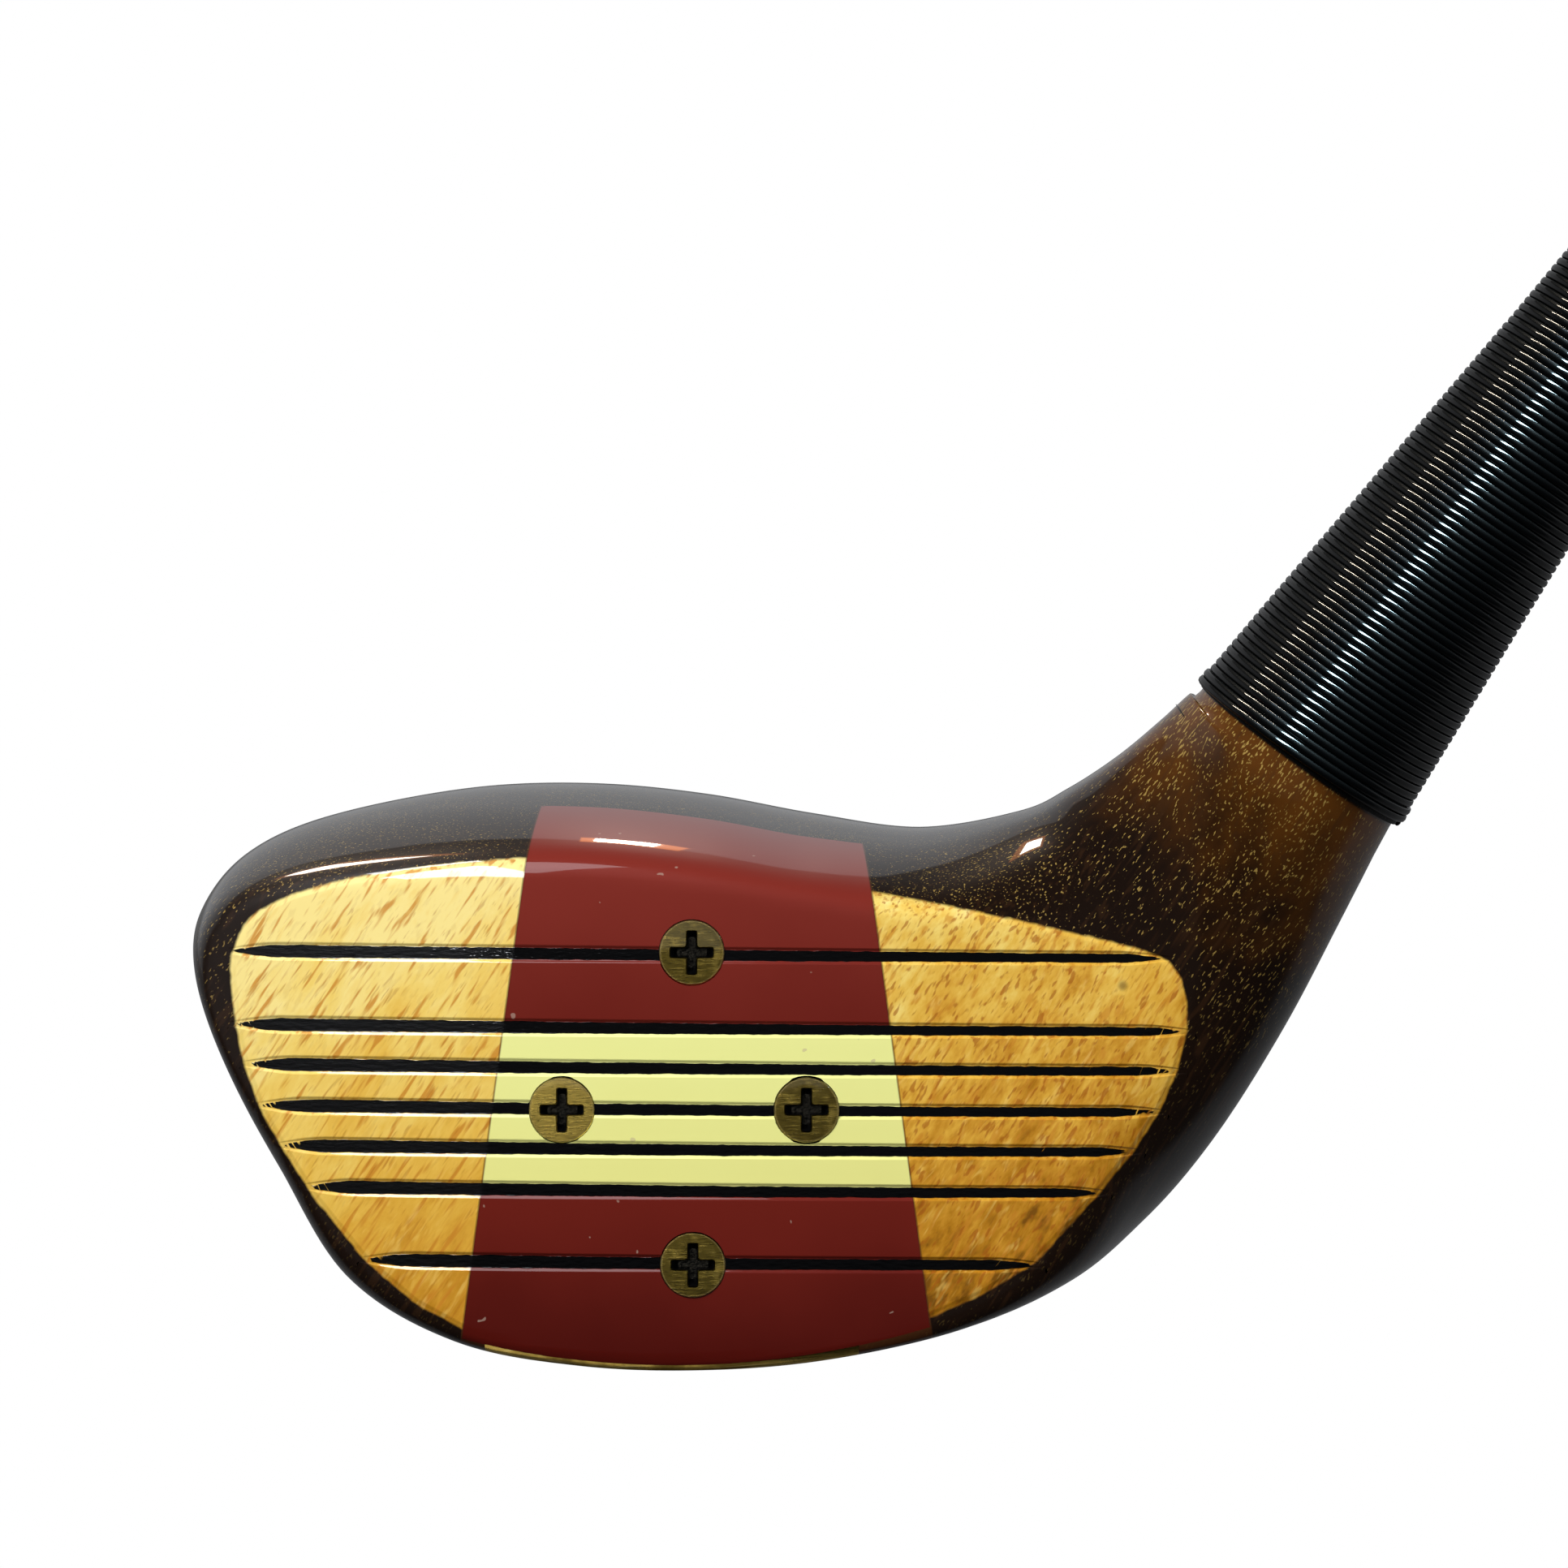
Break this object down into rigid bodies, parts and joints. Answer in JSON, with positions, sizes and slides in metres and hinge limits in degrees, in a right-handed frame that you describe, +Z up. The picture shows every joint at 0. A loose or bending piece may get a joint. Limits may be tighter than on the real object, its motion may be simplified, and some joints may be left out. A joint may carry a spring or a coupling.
{
  "type": "golf driver",
  "caption": "Wooden-headed golf driver at address: stained head with a clear face panel, layered screwed insert, brass sole plate, wound neck, stepped steel shaft and leather grip.",
  "frame": {"origin": "middle of the flat land of the sole plate, on the ground under the club at address", "axes": "+Z up from the ground, +X from the toe towards the heel and the shaft, -Y the way the face looks"},
  "size_m": [0.6932, 0.0648, 0.9011],
  "materials": {
    "head_wood": "glossy clear lacquer over dark stain, honey-coloured bare wood on the face",
    "insert_red": "polished",
    "insert_cream": "polished",
    "screw_brass": "polished, slightly tarnished",
    "plate_brass": "satin",
    "lead": "dull, as cast",
    "pin_steel": "drawn wire",
    "shaft_chrome": "bright plated",
    "black_plastic": "polished",
    "thread": "waxed thread, lacquered",
    "sleeve": "matte",
    "grip_leather": "perforated, satin",
    "plug_wood": "bare",
    "screw_steel": "plated"
  },
  "bodies": {
    "root": {"head_body": "head_wood", "insert_upper": "insert_red", "insert_centre": "insert_cream", "insert_lower": "insert_red", "insert_screw_top": "screw_brass", "insert_screw_toe": "screw_brass", "insert_screw_heel": "screw_brass", "insert_screw_bottom": "screw_brass", "sole_plate": "plate_brass", "sole_screw_front_toe": "screw_brass", "sole_screw_front_heel": "screw_brass", "sole_screw_middle_toe": "screw_brass", "sole_screw_middle_heel": "screw_brass", "sole_screw_back": "screw_brass", "lead_weight": "lead", "hosel_pin": "pin_steel", "shaft": "shaft_chrome", "ferrule": "black_plastic", "whipping": "thread", "grip_underlisting": "sleeve", "grip_wrap": "grip_leather", "grip_collar": "black_plastic", "grip_cap": "black_plastic", "butt_plug": "plug_wood", "cap_screw": "screw_steel"}
  },
  "joints": []
}
